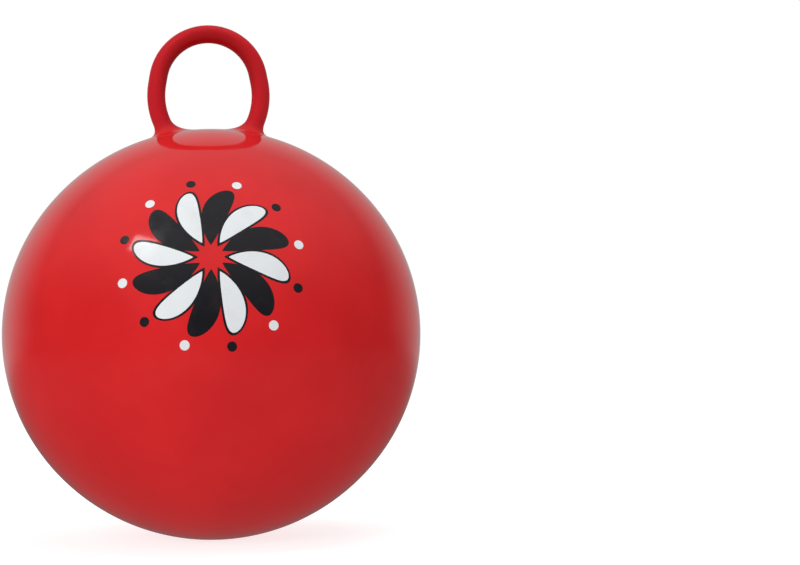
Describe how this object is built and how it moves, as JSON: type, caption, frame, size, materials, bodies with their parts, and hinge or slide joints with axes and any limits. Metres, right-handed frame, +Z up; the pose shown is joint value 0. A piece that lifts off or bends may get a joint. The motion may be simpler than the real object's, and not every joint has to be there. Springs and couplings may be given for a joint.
{
  "type": "hopper ball",
  "caption": "Inflated vinyl hopper ball with a ring handle on flared roots, to sit and bounce on, and a valve closed by a push-in stopper behind the handle.",
  "frame": {"origin": "centre of the flat patch that the ball rests on", "axes": "+Z up through the ball to the top of the loop, +X along the width of the loop to the right as seen from the front, -Y towards the front"},
  "size_m": [0.4998, 0.4998, 0.614],
  "materials": {
    "ball_vinyl": "glossy soft vinyl",
    "handle_vinyl": "satin soft vinyl",
    "stopper": "satin white plastic"
  },
  "bodies": {
    "ball": {"ball_skin": "ball_vinyl", "handle_loop": "handle_vinyl", "handle_root_left": "ball_vinyl", "handle_root_right": "ball_vinyl", "valve_seat": "ball_vinyl"},
    "plug": {"valve_plug": "stopper"}
  },
  "joints": [
    {"name": "plug_pull", "type": "slide", "parent": "ball", "child": "plug", "axis": [0, 0.6428, 0.766], "range_m": [0, 0.03]}
  ]
}
